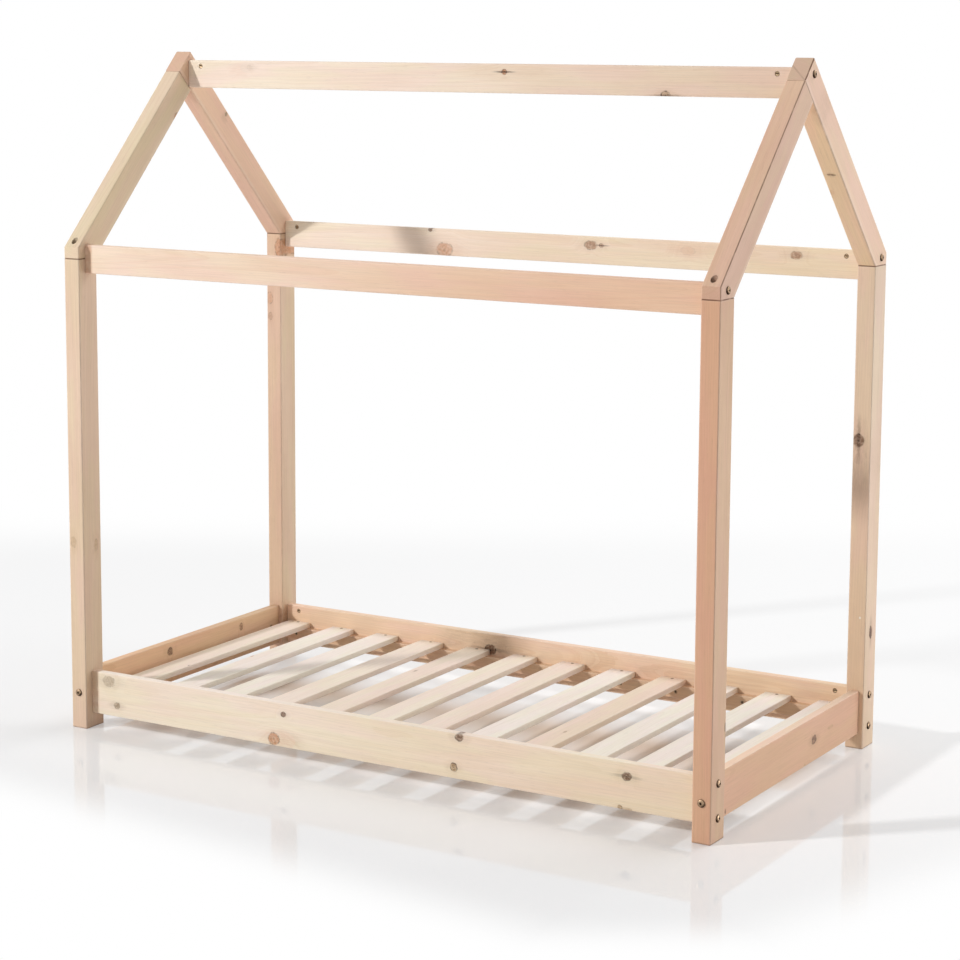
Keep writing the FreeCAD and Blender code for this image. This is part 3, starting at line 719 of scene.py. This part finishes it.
@dataclass
class LongTimbers:
    """Ridge board, eaves rails, side boards and end boards, all 18 mm thick."""

    ridge_front: float = -0.009
    board_front: float = -0.370
    board_inner: float = 0.352
    left_inner: float = -0.704
    right_outer: float = 0.722

    def boards(self) -> List[Board]:
        """The boards that join the gables."""
        return [
            Board("ridge_board", Run.ALONG, (0.965, 0.85, 0.73), (0.875, 0.705, 0.555),
                  (0.03, 0.05), 9.1, ring=0.006, wander=0.03, drift_and_falloff=(0.86, 0.78, 0.72),
                  knots=knots_on(
                Y_WAY, self.ridge_front,
                (0.0799, 1.364, 0.0058, BROWN, 1.0, 0.95, 0.8, 0.5, 1.0, 0.35),
                (0.0799, 1.364, 0.012, RED, 3.6, 0.0, 0.0, 0.22, 0.0, 0.6, 0.3),
                (0.4333, 1.3228, 0.0095, TAN, 1.1, 0.6, 0.95, 0.5, 0.5),
                (-0.5593, 1.363, 0.01, RED, 1.2, 0.0, 0.0),
                (-0.5343, 1.3655, 0.006, GREY, 1.2, 0.1, 0.1, 0.35))),
            Board("eaves_rail_front", Run.ALONG, (0.93, 0.76, 0.617), (0.84, 0.61, 0.454),
                  (0.012, 0.03), 10.2, ring=0.007, wander=0.035, taper=0.03,
                  drift_and_falloff=(0.89, 0.73, 0.65), nook_shades=(LEFT_NOOK_SHADE,)),
            Board("eaves_rail_back", Run.ALONG, (0.92, 0.805, 0.68), (0.82, 0.655, 0.485),
                  (0.02, 0.045), 11.5, ring=0.006, wander=0.03, drift_and_falloff=(0.95, 0.90, 0.82),
                  knots=knots_on(
                Y_WAY, self.board_inner,
                (-0.3085, 1.0095, 0.005, BROWN, 1.1, 0.9, 0.6, 0.4),
                (-0.272, 0.9665, 0.0165, RED, 1.3, 0.6, 0.4, 0.35),
                (0.088, 0.9943, 0.0098, RUSSET, 1.6, 0.75, 0.45),
                (0.1139, 0.9946, 0.0046, RUSSET, 1.3, 0.6, 0.6, 0.25, 0.7),
                (0.3143, 0.9933, 0.009, RED, 2.0, 0.12, 0.1, 0.3),
                (0.5547, 0.9957, 0.009, RUSSET, 1.55, 0.75, 0.4, 0.35))),
            Board("side_board_front", Run.ALONG, (0.925, 0.815, 0.685), (0.84, 0.70, 0.525),
                  (0.02, -0.08), 12.4, ring=0.006, wander=0.03, drift_and_falloff=(0.965, 0.905, 0.835),
                  brow_light=(1.05, 1.12, 1.22), nook_shades=(LEFT_NOOK_SHADE,), knots=knots_on(
                Y_WAY, self.board_front,
                (-0.6492, 0.1043, 0.012, GREY, 1.35, 0.55, 0.25, 0.45),
                (-0.6289, 0.055, 0.0068, GREY, 1.3, 0.75, 0.7, 0.55),
                (-0.2099, 0.0984, 0.0055, BROWN, 1.2, 0.85, 0.8, 0.3),
                (-0.213, 0.048, 0.0125, TAN, 1.5, 0.0, 0.0, 0.6),
                (-0.2332, 0.0451, 0.013, RED, 1.15, 0.8, 0.55, 0.3),
                (0.1966, 0.114, 0.0078, BROWN, 1.2, 0.82, 0.65, 0.35),
                (0.199, 0.1215, 0.0035, BROWN, 1.2, 0.6, 0.6, 0.1),
                (0.1846, 0.0535, 0.0085, TAN, 0.95, 0.8, 1.0, 0.45),
                (0.5533, 0.0947, 0.0086, BROWN, 1.2, 0.85, 0.7, 0.35, 0.35),
                (0.5395, 0.0345, 0.0045, BROWN, 1.2, 0.8, 0.7, 0.3),
                (0.554, 0.033, 0.0035, TAN, 3.0, 0.5, 0.2))),
            Board("side_board_back", Run.ALONG, (0.93, 0.72, 0.56), (0.81, 0.565, 0.39),
                  (0.02, 0.04), 13.7, ring=0.007, wander=0.035, contrast=0.5,
                  drift_and_falloff=(0.97, 0.96, 0.92), knots=knots_on(
                Y_WAY, self.board_inner,
                (-0.196, 0.098, 0.022, GREY, 1.8, 0.0, 0.0, 0.55, 0.0, 0.6, 0.3),
                (-0.15, 0.086, 0.012, BROWN, 1.2, 0.85, 0.7, 0.5, 0.5),
                (0.15, 0.09, 0.012, RED, 4.0, 0.0, 0.0, 0.3),
                # Three soft tan patches just above slat ends: painted shade where the slats meet
                # the board.
                *((x, 0.095, 0.008, TAN, 2.6, 0.0, 0.0, 0.4, 0.0, 0.6, 0.0)
                  for x in (0.285, 0.402, 0.645)))),
            Board("end_board_left", Run.ACROSS_ON_EDGE, (0.85, 0.57, 0.36), (0.72, 0.44, 0.26),
                  (0.03, 0.08), 14.8, drift_and_falloff=(0.82, 0.85, 0.88), knots=knots_on(
                X_WAY, self.left_inner,
                (-0.0869, 0.1, 0.0095, BROWN, 0.95, 0.7, 0.95),
                (0.1811, 0.101, 0.0085, RUSSET, 0.75, 0.9, 0.8))),
            Board("end_board_right", Run.ACROSS_ON_EDGE, (0.715, 0.465, 0.315),
                  (0.615, 0.37, 0.24), (0.03, 0.09), 15.3, drift_and_falloff=(0.91, 0.89, 0.89),
                  brow_light=(1.32, 1.55, 1.75), knots=knots_on(
                X_WAY, self.right_outer,
                (0.1029, 0.0752, 0.0095, BROWN, 1.2, 0.75, 1.0, 0.5),
                (0.1853, 0.081, 0.0035, TAN, 4.0, 0.4, 0.2),
                (0.0595, 0.0349, 0.0024, TAN, 1.2, 0.8, 0.1),
                (-0.306, 0.04, 0.005, BROWN, 0.5, 0.8, 0.6, 0.2))),
        ]


@dataclass
class SlatBase:
    """Ledgers on the side boards and the slats that lie on them.

    The order gives each slat one of the tints, which multiply the early and the late colour. A
    mark is a small knot's X, Y, radius, wood and stretch; it falls on the slat at its X.
    """

    slats: int = 12
    pitch: float = 0.1196
    top: float = 0.085
    early: Triple = (0.90, 0.81, 0.70)
    late: Triple = (0.83, 0.71, 0.57)
    tints: Tuple[Triple, ...] = ((1.01, 1.0, 1.0), (1.04, 1.08, 1.14), (0.99, 0.95, 0.95),
                                 (0.97, 0.90, 0.87))
    order: Tuple[int, ...] = (0, 1, 1, 0, 2, 0, 2, 1, 3, 1, 1, 1)
    marks: Tuple[Row, ...] = (
        (0.3011, -0.1385, 0.0026, TAN, 3.0), (-0.5627, 0.0237, 0.0022, RED, 3.0),
        (-0.6325, -0.1153, 0.0018, BROWN, 1.6), (-0.1937, 0.1061, 0.0026, GREY, 2.6),
        (0.5350, 0.0500, 0.0040, TAN, 1.8))

    def boards(self) -> List[Board]:
        """The ledgers and slats."""
        return [Board("slat_ledger_front", Run.ALONG, (0.80, 0.58, 0.42), (0.68, 0.45, 0.30),
                      (0.02, 0.05), 16.1),
                Board("slat_ledger_back", Run.ALONG, (0.78, 0.54, 0.37), (0.66, 0.42, 0.27),
                      (0.03, 0.05), 17.9),
                *(self.slat(i) for i in range(self.slats))]

    def slat(self, i: int) -> Board:
        """One slat.

        Args:
            i: its place from the left, from 0.
        Returns:
            The slat's board.
        """
        tint = self.tints[self.order[i]]
        early, late = (tuple(a * b for a, b in zip(part, tint))
                       for part in (self.early, self.late))
        middle = (i - (self.slats - 1) / 2) * self.pitch
        marks = [(*mark, 0.7, 0.4, 0.3) for mark in self.marks
                 if abs(mark[0] - middle) < self.pitch / 2]
        return Board(f"slat_{i + 1:02d}", Run.ACROSS_FLAT, early, late,
                     (0.02 * math.sin(i * 2.3), -0.06), 20.0 + 1.37 * i,
                     knots=knots_on(Z_WAY, self.top, *marks), contrast=0.35)


# ---- fasteners

@dataclass(frozen=True)
class PlatedMetal:
    """Plated metal with turning marks, dull patches, soiling and painted shade.

    Soiling and painted shade lie where the piece's grime_and_shade attribute says so, in recesses
    and round the rim, and painted shade darkens the surfaces that look away from the key.
    """

    name: str
    colour: Triple
    dull: float
    metallic: float = 1.0
    shade: float = 0.9
    dirt_and_shade: Triple = (0.055, 0.032, 0.020)
    worn: float = 0.68
    shaded_side: Triple = (0.5, -0.45, -0.6)

    def build(self) -> bpy.types.Material:
        """Make the metal."""
        material, s = new_material(self.name)
        where = s.node("ShaderNodeTexCoord").outputs
        point = where["Object"]
        grime_and_shade = s.node("ShaderNodeAttribute", attribute_name="grime_and_shade").outputs["Fac"]
        patch = s.noise(point, 420.0, 3.0)
        marks = s.streaks(point, (300.0, 4200.0, 4200.0), 2.0)
        colour = s.blend(s.ramp(patch, 0.35, 0.7), self.colour,
                         tuple(self.worn * part for part in self.colour))
        # Painted shade: surfaces that face the shaded side darken towards the dirt_and_shade
        # colour, on top of the grime_and_shade attribute.
        below = s.ramp(s.dot(where["Normal"], self.shaded_side), 0.48, 0.85)
        grime_and_shade = s.fma(below, self.shade, grime_and_shade, clamp=True)
        colour = s.blend(grime_and_shade, colour, self.dirt_and_shade)
        gloss = s.ramp(patch, 0.3, 0.7, self.dull - 0.06, self.dull + 0.14)
        gloss = s.fma(grime_and_shade, 0.4, gloss, clamp=True)
        s.show(s.principled(colour, gloss, s.bump(marks, 0.12, 0.0001), Metallic=self.metallic))
        return material


@dataclass(frozen=True)
class BeechFinish:
    """Turned beech: fine pinkish wood with short darker flecks along the grain."""

    name: str = "beech_dowel"
    light: Triple = (0.66, 0.46, 0.30)
    deep: Triple = (0.58, 0.38, 0.24)
    fleck: Triple = (0.34, 0.19, 0.10)

    def build(self) -> bpy.types.Material:
        """Make the beech."""
        material, s = new_material(self.name)
        point = s.node("ShaderNodeTexCoord").outputs["Object"]
        fleck = s.streaks(point, (260.0, 1500.0, 1500.0), 2.0)
        colour = s.blend(s.ramp(s.noise(point, 40.0), 0.3, 0.7), self.light, self.deep)
        colour = s.blend(s.ramp(fleck, 0.58, 0.68, 0.0, 0.6), colour, self.fleck)
        gloss = s.ramp(fleck, 0.3, 0.7, 0.5, 0.62)
        s.show(s.principled(colour, gloss, s.bump(fleck, 0.2, 0.0002)))
        return material


class Recess(Enum):
    """Drive in a head."""

    HEX = "hex"
    CROSS = "cross"
    SLOT = "slot"

    def outline(self, angle: np.ndarray) -> np.ndarray:
        """Radius of the recess in each direction.

        A hexagon at unit distance from its flats is 1 over the cosine of the angle to the nearest
        flat. A slot of unit length is a rectangle's radius, and a cross the larger of two.

        Args:
            angle: directions round the axis.
        Returns:
            The radii.
        """
        if self is Recess.HEX:
            sixth = math.pi / 3
            return 1.0 / np.cos(angle % sixth - sixth / 2)
        across, up = (np.maximum(np.abs(f(angle)), 1e-6) for f in (np.cos, np.sin))
        if self is Recess.SLOT:
            return np.minimum(1.0 / across, 0.19 / up)
        arm = 0.26
        return np.maximum(np.minimum(1.0 / across, arm / up), np.minimum(1.0 / up, arm / across))


@dataclass(frozen=True)
class TurnedForm:
    """A fastener's outline, carried round its axis.

    Each row holds the radius and the depth from the seat in millimetres, the ring's soiling and
    painted shade, darkest in the recess and round the rim where the head meets the wood, and how
    far it follows the recess's outline, from 0 to 1. What a row leaves out is 0. The first and last
    rows lie on the axis.
    """

    recess: Recess
    rows: Tuple[Tuple[float, ...], ...]
    steps: int = 48

    def table(self) -> np.ndarray:
        """The rows, filled up with zeros."""
        return np.array([(*row, 0.0, 0.0)[:4] for row in self.rows])

    def rings(self, seat: Sequence[float], inward: Sequence[float]) -> np.ndarray:
        """Points of one fastener.

        A ring's point is the seat, plus the depth along the inward axis, plus the ring's radius
        times the cosine and sine of the angle along two directions square to the axis.

        Args:
            seat: where the axis meets the seat, in millimetres.
            inward: the axis, of unit length.
        Returns:
            One row of X, Y and Z in metres for each point, the two poles last.
        """
        table = self.table()
        axis = np.array(inward, float)
        aside = np.cross(axis, Z_WAY if abs(axis[2]) < 0.9 else Y_WAY)
        aside /= np.linalg.norm(aside)
        upward = np.cross(aside, axis)
        angle = np.arange(self.steps) * (2 * math.pi / self.steps)
        shape = 1.0 + table[:, 3:4] * (self.recess.outline(angle)[None] - 1.0)
        across, up = (table[:, 0:1] * shape * f(angle) for f in (np.cos, np.sin))
        points = (np.array(seat, float) + (up[..., None] * upward - across[..., None] * aside)
                  + table[:, 1, None, None] * axis)
        inner = points[1:-1].reshape(-1, 3)
        return np.concatenate((inner, points[0, :1], points[-1, :1])) / 1000.0

    def faces(self) -> List[List[int]]:
        """Corners of one fastener's faces: four between neighbouring rings, three at the poles."""
        count = len(self.rows) - 2
        k = np.arange(self.steps)
        after = (k + 1) % self.steps
        base = np.arange(count - 1)[:, None] * self.steps
        quads = np.stack((base + k, base + self.steps + k, base + self.steps + after,
                          base + after), -1)
        first, last = count * self.steps, count * self.steps + 1
        end = (count - 1) * self.steps
        caps = np.concatenate((np.stack((np.full_like(k, first), k, after), -1),
                               np.stack((end + k, np.full_like(k, last), end + after), -1)))
        return quads.reshape(-1, 4).tolist() + caps.tolist()

    def grime_and_shade(self) -> np.ndarray:
        """Soiling and painted shade at each of one fastener's points."""
        dirt_and_shade = self.table()[:, 2]
        return np.concatenate((np.repeat(dirt_and_shade[1:-1], self.steps), dirt_and_shade[[0, -1]]))


def domed_bolt(long: float) -> TurnedForm:
    """Domed bolt with a hex socket.

    The dome's radius goes from the flat to the rim with the cosine, and its height with the sine,
    of an angle that runs from 90 degrees to 0.

    Args:
        long: the shank's length in millimetres.
    Returns:
        The bolt's form.
    """
    flat, rim, crown, band = 3.0, 7.5, 2.7, 0.9
    dome = [(flat + (rim - flat) * math.cos(a), -band - crown * math.sin(a),
             0.75 * max(0.0, math.cos(a) - 0.86) / 0.14)
            for a in np.radians(np.linspace(90.0, 0.0, 10))]
    return TurnedForm(Recess.HEX, (
        (0.0, -1.2, 1.0, 1.0), (1.9, -1.2, 1.0, 1.0), (2.0, -1.25, 1.0, 1.0),
        (2.0, -2.6, 0.95, 1.0), (2.0, -3.5, 0.85, 1.0), (2.06, -3.6, 0.6, 1.0),
        (2.5, -3.6, 0.15, 0.2), *dome, (rim, -0.45, 0.9), (rim, -0.04, 1.0),
        (rim - 0.05, 0.0, 1.0), (3.05, 0.0, 0.5), (3.0, 0.05, 0.3), (3.0, long - 0.5), (2.5, long),
        (0.0, long)))


def sunk_screw(long: float) -> TurnedForm:
    """Cylinder-head screw with a cross recess, for a counterbore; long is the shank's length."""
    return TurnedForm(Recess.CROSS, (
        (0.0, -2.2, 1.0, 1.0), (2.0, -2.4, 1.0, 1.0), (2.9, -3.9, 0.9, 1.0), (3.0, -4.0, 0.6, 1.0),
        (3.4, -4.0, 0.2, 0.1), (4.4, -3.95, 0.2), (4.75, -3.7, 0.5), (4.8, -3.4, 0.8),
        (4.8, -0.05, 1.0), (4.75, 0.0, 1.0), (2.5, 0.0, 0.5), (2.5, long - 4.0), (0.0, long)))


def flat_screw(long: float) -> TurnedForm:
    """Countersunk screw with a cross recess; long is its whole length."""
    return TurnedForm(Recess.CROSS, (
        (0.0, 1.3, 1.0, 1.0), (1.2, 1.2, 1.0, 1.0), (2.1, 0.08, 0.9, 1.0), (2.2, 0.0, 0.5, 1.0),
        (2.5, 0.0, 0.15, 0.1), (3.65, 0.0, 0.2), (3.8, 0.08, 0.8), (3.7, 0.15, 1.0),
        (1.8, 2.2, 0.5), (1.8, long - 4.0), (0.0, long)))


def slotted_nut(long: float) -> TurnedForm:
    """Barrel nut with a slot in its face, 1 mm below the board; long is its far end's depth."""
    return TurnedForm(Recess.SLOT, (
        (0.0, 2.4, 1.0, 1.0), (3.7, 2.4, 1.0, 1.0), (3.75, 1.05, 0.8, 1.0), (3.85, 1.0, 0.25, 1.0),
        (4.0, 1.0, 0.0, 0.1), (4.3, 1.05, 0.15), (4.7, 1.25, 0.9), (5.0, 1.7, 1.0), (5.0, long),
        (0.0, long)))


Seat = Tuple[Triple, Triple]


@dataclass
class Fasteners:
    """Bolts, barrel nuts, dowels and screws. Places are in millimetres."""

    outer_x: float = 732.0
    mid_x: float = 713.0
    bay_x: float = 704.0
    nut_x: float = 662.0
    post_y: float = 390.0
    board_y: float = 361.0
    bay_y: float = 352.0
    board_z: Tuple[float, float] = (43.5, 108.5)
    rail_z: float = 999.5
    ridge_z: float = 1367.5
    end_board_z: float = 76.0
    apex_corner: Tuple[float, float] = (-41.012, 1357.012)
    apex_depth: float = 42.0
    ledger_x: Tuple[float, ...] = (-657.0, -556.0, -444.0, -322.0, -204.0, -82.0, 38.0, 182.0,
                                   312.0, 465.0, 610.0)
    slat_pitch: float = 119.6

    def build(self) -> None:
        """Turn the bolts, nuts and screws, and dress the dowels."""
        seats, short = self.seats(), domed_bolt(80.0)
        # The plating colours are warm browns, partly the plating's own tone and partly a painted
        # reflection of the wood round the fasteners.
        for finish, forms in (
                (PlatedMetal("bolt_steel", (0.40, 0.275, 0.175), 0.38),
                 {"side_board_bolts": short, "eaves_rail_bolts": short, "ridge_bolts": short,
                  "end_board_bolts": domed_bolt(100.0)}),
                (PlatedMetal("screw_steel", (0.50, 0.39, 0.28), 0.36),
                 {"rafter_foot_screws": sunk_screw(70.0), "apex_screws": sunk_screw(80.0),
                  "ledger_screws": flat_screw(32.0), "slat_screws": flat_screw(20.0)}),
                (PlatedMetal("nut_steel", (0.46, 0.33, 0.20), 0.36, 0.8, 0.0),
                 {"barrel_nuts": slotted_nut(14.0)})):
            metal = finish.build()
            for node, form in forms.items():
                self.turn(node, form, seats[node], metal, finish.name)
        dress_node("joint_dowels", BeechFinish().build())

    @staticmethod
    def turn(node: str, form: TurnedForm, seats: List[Seat], metal: bpy.types.Material,
             slot: str) -> None:
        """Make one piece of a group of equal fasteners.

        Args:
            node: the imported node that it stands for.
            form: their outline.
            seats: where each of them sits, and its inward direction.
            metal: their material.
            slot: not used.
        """
        solids = [form.rings(at, way) for at, way in seats]
        size = len(solids[0])
        faces = [[corner + i * size for corner in face]
                 for i in range(len(seats)) for face in form.faces()]
        mesh = bpy.data.meshes.new("turned_" + node)
        mesh.from_pydata(np.concatenate(solids).tolist(), [], faces)
        mesh.polygons.foreach_set("use_smooth", np.ones(len(mesh.polygons), bool))
        grime_and_shade = mesh.attributes.new("grime_and_shade", "FLOAT", "POINT")
        grime_and_shade.data.foreach_set("value", np.tile(form.grime_and_shade(), len(seats)).astype(np.float32))
        mesh.materials.append(metal)
        piece = add_object("turned_" + node, mesh)
        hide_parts(node)
        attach(piece, "root")
        LOG.info("turned %s", node)

    def seats(self) -> Dict[str, List[Seat]]:
        """Where the fasteners sit.

        Bolts sit on the gables' and the posts' outer faces, a nut in the mouth of its hole, and
        screws in the rafters' counterbores and on the ledgers and slats. A seat at the apex lies
        down the butt joint by its step from the joint's upper corner, then up the screw's way by
        the rafter's depth less the counterbore's.

        Returns:
            For each node the seats, and the direction inward from each.
        """
        sides = (-1, 1)
        corners = [(side, way) for side in sides for way in sides]
        x, y, bay, (upper_y, upper_z) = self.outer_x, self.board_y, self.bay_y, self.apex_corner
        return {
            "side_board_bolts": [((side * x, way * y, z), (-side, 0, 0))
                                 for side, way in corners for z in self.board_z],
            "eaves_rail_bolts": [((side * x, way * y, self.rail_z), (-side, 0, 0))
                                 for side, way in corners],
            "ridge_bolts": [((side * x, 0.0, self.ridge_z), (-side, 0, 0)) for side in sides],
            "end_board_bolts": [((side * self.mid_x, way * self.post_y, self.end_board_z),
                                 (0, -way, 0)) for side, way in corners],
            "barrel_nuts": [((side * self.nut_x, way * bay, z), (0, way, 0))
                            for side, way in corners for z in (*self.board_z, self.rail_z)]
            + [((side * self.bay_x, way * 300.0, self.end_board_z), (side, 0, 0))
               for side, way in corners]
            + [((side * self.nut_x, -9.0, self.ridge_z), (0, 1, 0)) for side in sides],
            "rafter_foot_screws": [((side * self.mid_x, way * 378.0, 1000.0), (0, 0, -1))
                                   for side, way in corners],
            "apex_screws": [((side * self.mid_x, upper_y + (step + self.apex_depth) * HALF_ROOT,
                              upper_z + (self.apex_depth - step) * HALF_ROOT),
                             (0, -HALF_ROOT, -HALF_ROOT))
                            for side in sides for step in (12.0, 33.0)],
            "ledger_screws": [((x, way * (bay - 18.0), 59.5), (0, way, 0))
                              for way in sides for x in self.ledger_x],
            "slat_screws": [(((i - 5.5) * self.slat_pitch, way * 343.0, 85.0), (0, 0, -1))
                            for way in sides for i in range(12)],
        }


# ---- studio

@dataclass(frozen=True)
class Softbox:
    """A square lamp: where it hangs, where it points, its width and its power."""

    name: str
    at: Triple
    aim: Triple
    wide: float
    power: float

    def build(self) -> None:
        """Hang the lamp."""
        data = bpy.data.lights.new(self.name, "AREA")
        data.shape = "SQUARE"
        data.size = self.wide
        data.energy = self.power
        lamp = add_object(self.name, data)
        lamp.location = self.at
        way = Vector(self.aim) - Vector(self.at)
        lamp.rotation_euler = way.to_track_quat("-Z", "Y").to_euler()


@dataclass
class Studio:
    """Pale glossy floor, softboxes and the camera. The pool is where the floor keeps its shade."""

    camera_at: Triple = (2.6008, -4.4488, 1.4773)
    camera_yaw: float = 32.2512
    camera_down: float = 8.4279
    lens: float = 96.088
    shift: Tuple[float, float] = (0.1, -0.09)
    sky: float = 0.265
    lamps: Tuple[Softbox, ...] = (
        Softbox("key", (-6.65, -7.5, 5.6), (0.0, 0.0, 0.6), 0.75, 740.0),
        Softbox("top_back", (1.6, 3.2, 4.6), (0.0, 0.0, 0.4), 4.0, 165.0),
        Softbox("front_fill", (1.8, -5.5, 0.9), (0.0, 0.0, 0.7), 2.5, 12.0),
        Softbox("right_fill", (3.1, 1.3, 0.38), (0.7, 0.0, 0.8), 0.7, 30.0),
    )
    floor_half: float = 30.0
    floor_open: Triple = (0.93, 0.932, 0.94)
    floor_under_shade: Triple = (0.72, 0.635, 0.56)
    pool_middle: float = 0.25
    pool_front: float = -1.0

    def build(self) -> None:
        """Set up the floor, the light and the camera."""
        self.world()
        for lamp in self.lamps:
            lamp.build()
        self.floor()
        self.camera()
        bpy.context.scene.view_settings.view_transform = "Standard"

    def world(self) -> None:
        """White all round: full white to the camera and in reflections, softer as light."""
        world = bpy.data.worlds.new("studio_white")
        bpy.context.scene.world = world
        world.use_nodes = True
        world.node_tree.nodes.clear()
        s = NodeSheet(world.node_tree)
        path = s.node("ShaderNodeLightPath").outputs
        seen = s.add(s.add(path["Is Camera Ray"], path["Is Glossy Ray"]),
                     path["Is Transmission Ray"], clamp=True)
        s.show(s.wire("ShaderNodeBackground", {"Color": (1, 1, 1, 1),
                                               "Strength": s.fma(seen, 1.0 - self.sky, self.sky)}),
               "ShaderNodeOutputWorld")

    def floor(self) -> None:
        """Pale glossy floor that keeps the bed's shadow and turns white further out."""
        h = self.floor_half
        mesh = bpy.data.meshes.new("floor")
        mesh.from_pydata([(-h, -h, 0), (h, -h, 0), (h, h, 0), (-h, h, 0)], [], [(0, 1, 2, 3)])
        floor = add_object("floor", mesh)
        material, s = new_material("floor_white")
        point = s.node("ShaderNodeTexCoord").outputs["Object"]
        under = self.under_bed(s, point)
        white = s.mul(self.white_share(s, point), s.sub(1.0, under))
        white = s.mul(white, s.node("ShaderNodeLightPath").outputs["Is Camera Ray"])
        # Beneath the slats the floor's colour carries painted shade and a painted reflection of the
        # slats.
        shader = s.principled(s.blend(under, self.floor_open, self.floor_under_shade),
                              s.ramp(s.noise(point, 3.0), 0.3, 0.7, 0.045, 0.06),
                              Specular_IOR_Level=0.5)
        glow = s.wire("ShaderNodeEmission", {"Color": (1, 1, 1, 1)})
        s.show(s.wire("ShaderNodeMixShader", {0: white, 1: shader, 2: glow}))
        mesh.materials.append(material)

    @staticmethod
    def under_bed(s: NodeSheet, point: Socket) -> Socket:
        """Mask of the floor beneath the slats, whose colour there takes painted shade and a painted
        reflection of the slats' warm tone.
        """
        x, y, _ = s.split(point)
        inside = s.mul(s.fall(s.size(x), 0.66, 0.70), s.ramp(y, -0.345, -0.30))
        return s.mul(inside, s.mul(s.ramp(y, 0.0, 0.11, 0.62), s.fall(y, 0.11, 0.26)))

    def white_share(self, s: NodeSheet, point: Socket) -> Socket:
        """How much of the floor shows as pure white.

        Along the view the floor turns white at the back and at the front. To the sides a wedge of
        floor stays shaded that opens towards the back.

        Args:
            s: the floor's sheet.
            point: a point on the floor.
        Returns:
            The share, from 0 to 1.
        """
        turn = math.radians(self.camera_yaw)
        side = s.dot(point, (math.cos(turn), math.sin(turn), 0.0))
        deep = s.dot(point, (-math.sin(turn), math.cos(turn), 0.0))
        wide = s.size(s.sub(side, self.pool_middle))
        open_by = s.mul(s.sub(deep, self.pool_front), 1.2)
        wedge = s.ramp(s.sub(wide, open_by), 0.1, 0.6)
        ends = s.most(s.ramp(deep, 1.5, 2.5), s.ramp(deep, -1.0, -1.3))
        return s.ramp(s.most(wedge, ends), 0.0, 1.0, s.ramp(deep, -0.6, 0.8, 0.1, 0.44))

    def camera(self) -> None:
        """Camera at the photograph's viewing angle."""
        data = bpy.data.cameras.new("camera")
        data.sensor_width = 36.0
        data.lens = self.lens
        data.shift_x, data.shift_y = self.shift
        camera = add_object("camera", data)
        camera.location = self.camera_at
        camera.rotation_euler = (math.radians(90 - self.camera_down), 0,
                                 math.radians(self.camera_yaw))
        bpy.context.scene.camera = camera


def main() -> None:
    """Dress the timber and the fasteners, then set up the studio."""
    logging.basicConfig(level=logging.INFO, format="%(name)s: %(message)s")
    bench = PineBench()
    for assembly in (GableFrames(), LongTimbers(), SlatBase()):
        for board in assembly.boards():
            bench.dress(board)
            LOG.info("dressed %s", board.node)
    Fasteners().build()
    Studio().build()


if __name__ == "__main__":
    main()
